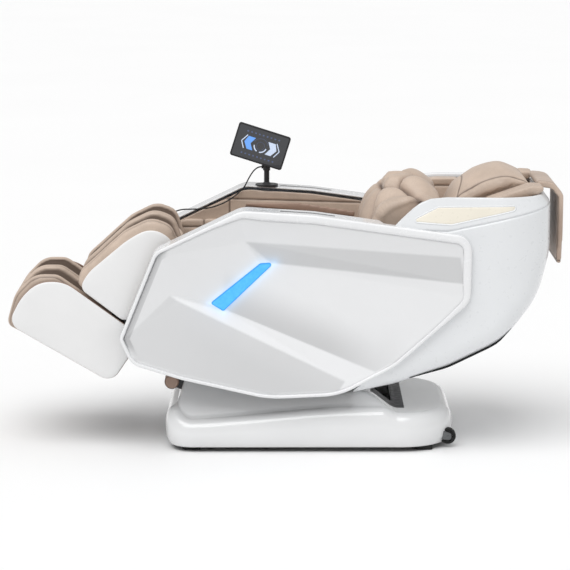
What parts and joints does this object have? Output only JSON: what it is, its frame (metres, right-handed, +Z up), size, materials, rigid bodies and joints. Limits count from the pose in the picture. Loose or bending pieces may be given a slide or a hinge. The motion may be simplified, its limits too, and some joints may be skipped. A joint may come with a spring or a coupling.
{
  "type": "massage chair",
  "caption": "Reclined full-body massage chair with tilting body, reclining back, lifting calf unit, sliding foot unit, roller carriage and a swivelling touch tablet.",
  "frame": {"origin": "on the floor, below the middle of the chair's length and width in the reclined pose", "axes": "+X towards the head end, +Y across the chair towards the tablet, +Z up"},
  "size_m": [1.9679, 0.78, 1.102],
  "materials": {
    "white_shell": "satin",
    "rear_white": "satin",
    "gloss_inlay": "gloss",
    "light": "lit from behind",
    "cream_lens": "satin",
    "leather": "fine grain",
    "brown_leather": "fine grain",
    "steel": "powder coated",
    "bright_steel": "ground",
    "black_plastic": "matte",
    "black_rubber": "matte",
    "roller_rubber": "matte",
    "screen": "gloss"
  },
  "bodies": {
    "base": {"base_cover": "white_shell", "base_frame": "steel", "foot_pads": "black_rubber", "wheel_brackets": "steel", "pivot_shaft": "bright_steel", "control_box": "black_plastic", "power_inlet": "black_plastic", "front_bracket": "black_plastic", "front_roll": "brown_leather"},
    "seat_body": {"seat_frame": "steel", "seat_pan": "black_plastic", "seat_cushion": "leather", "left_side_shell": "white_shell", "right_side_shell": "white_shell", "left_inlay": "gloss_inlay", "right_inlay": "gloss_inlay", "light_strips": "light", "arm_trims": "black_plastic", "arm_panels": "leather", "arm_airbags": "brown_leather", "knee_pads": "leather", "air_pump": "black_plastic", "leg_motor": "black_plastic", "tablet_post": "black_plastic", "tablet_cable": "black_rubber", "cable_grommet": "black_plastic"},
    "backrest": {"rear_shell": "rear_white", "shell_gasket": "black_plastic", "wing_windows": "cream_lens", "wing_pads": "leather", "back_frame": "steel", "massage_rails": "bright_steel", "back_pad": "leather", "lumbar_pillow": "leather", "head_pillow": "leather", "shoulder_flaps": "leather", "back_flap": "brown_leather"},
    "carriage": {"massage_carriage": "black_plastic"},
    "left_arm": {"left_kneader": "roller_rubber"},
    "right_arm": {"right_kneader": "roller_rubber"},
    "calf_unit": {"calf_side_panels": "white_shell", "calf_upholstery": "leather", "calf_frame": "steel"},
    "foot_unit": {"foot_side_panels": "white_shell", "foot_upholstery": "leather", "foot_piping": "brown_leather", "foot_frame": "steel"},
    "sole_roller_shaft": {"sole_rollers": "roller_rubber"},
    "tablet_head": {"tablet_head": "black_plastic"},
    "tablet": {"tablet_case": "black_plastic", "tablet_screen": "screen"},
    "left_wheel_body": {"left_wheel": "black_rubber"},
    "right_wheel_body": {"right_wheel": "black_rubber"},
    "rocker": {"power_switch": "black_plastic"},
    "tilt_tube": {"tilt_motor": "black_plastic"},
    "tilt_rod_body": {"tilt_rod": "bright_steel"},
    "recline_tube": {"recline_motor": "black_plastic"},
    "recline_rod_body": {"recline_rod": "bright_steel"},
    "leg_rod_body": {"leg_rod": "bright_steel"}
  },
  "joints": [
    {"name": "body_tilt", "type": "hinge", "parent": "base", "child": "seat_body", "pos_m": [0, 0, 0.33], "axis": [0, -1, 0], "range_deg": [0, 10]},
    {"name": "back_recline", "type": "hinge", "parent": "seat_body", "child": "backrest", "pos_m": [0.06, 0, 0.45], "axis": [0, -1, 0], "range_deg": [0, 36]},
    {"name": "calf_lift", "type": "hinge", "parent": "seat_body", "child": "calf_unit", "pos_m": [-0.4, 0, 0.62], "axis": [0, -1, 0], "range_deg": [-25, 16]},
    {"name": "foot_extend", "type": "slide", "parent": "calf_unit", "child": "foot_unit", "axis": [-0.7771, 0, -0.6293], "range_m": [0, 0.1]},
    {"name": "tablet_swivel", "type": "hinge", "parent": "seat_body", "child": "tablet_head", "pos_m": [-0.068, 0.3, 0.95], "axis": [0, 0, 1], "range_deg": [-10, 90]},
    {"name": "tablet_tilt", "type": "hinge", "parent": "tablet_head", "child": "tablet", "pos_m": [-0.068, 0.292, 0.97], "axis": [-0.9527, 0, 0.304], "range_deg": [-3, 25]},
    {"name": "carriage_travel", "type": "slide", "parent": "backrest", "child": "carriage", "axis": [0.9336, 0, 0.3584], "range_m": [-0.09, 0.12]},
    {"name": "left_knead", "type": "hinge", "parent": "carriage", "child": "left_arm", "pos_m": [0.65458, 0, 0.67328], "axis": [0, -1, 0], "range_deg": [-5, 5]},
    {"name": "right_knead", "type": "hinge", "parent": "carriage", "child": "right_arm", "pos_m": [0.65458, 0, 0.67328], "axis": [0, -1, 0], "range_deg": [-5, 5]},
    {"name": "sole_roll", "type": "hinge", "parent": "foot_unit", "child": "sole_roller_shaft", "pos_m": [-0.81242, 0, 0.3761], "axis": [0, 1, 0], "continuous": true},
    {"name": "left_wheel_spin", "type": "hinge", "parent": "base", "child": "left_wheel_body", "pos_m": [0.578, -0.251, 0.041], "axis": [0, 1, 0], "continuous": true},
    {"name": "right_wheel_spin", "type": "hinge", "parent": "base", "child": "right_wheel_body", "pos_m": [0.578, 0.251, 0.041], "axis": [0, 1, 0], "continuous": true},
    {"name": "power_rock", "type": "hinge", "parent": "base", "child": "rocker", "pos_m": [0.587, 0.0245, 0.062], "axis": [0, 1, 0], "range_deg": [-8, 8]},
    {"name": "tilt_motor_swing", "type": "hinge", "parent": "base", "child": "tilt_tube", "pos_m": [0.23, 0, 0.13], "axis": [0, -1, 0], "range_deg": [-0.05, 2.4]},
    {"name": "tilt_stroke", "type": "slide", "parent": "tilt_tube", "child": "tilt_rod_body", "axis": [-0.2788, 0, 0.9603], "range_m": [-0.0005, 0.029]},
    {"name": "recline_motor_swing", "type": "hinge", "parent": "seat_body", "child": "recline_tube", "pos_m": [-0.19, 0.06, 0.44], "axis": [0, -1, 0], "range_deg": [-0.05, 13.9]},
    {"name": "recline_stroke", "type": "slide", "parent": "recline_tube", "child": "recline_rod_body", "axis": [0.962, 0, -0.2732], "range_m": [-0.0005, 0.033]},
    {"name": "leg_stroke", "type": "slide", "parent": "seat_body", "child": "leg_rod_body", "axis": [-0.9721, 0, 0.2346], "range_m": [-0.0315, 0.0485]}
  ],
  "couplings": [
    {"joint": "tilt_motor_swing", "follows": "body_tilt", "ratio": 0.2264},
    {"joint": "tilt_stroke", "follows": "body_tilt", "m_per_rad": 0.1611},
    {"joint": "recline_motor_swing", "follows": "back_recline", "ratio": 0.3785},
    {"joint": "recline_stroke", "follows": "back_recline", "m_per_rad": 0.05114},
    {"joint": "leg_stroke", "follows": "calf_lift", "m_per_rad": -0.10932},
    {"joint": "right_knead", "follows": "left_knead", "ratio": -1}
  ]
}
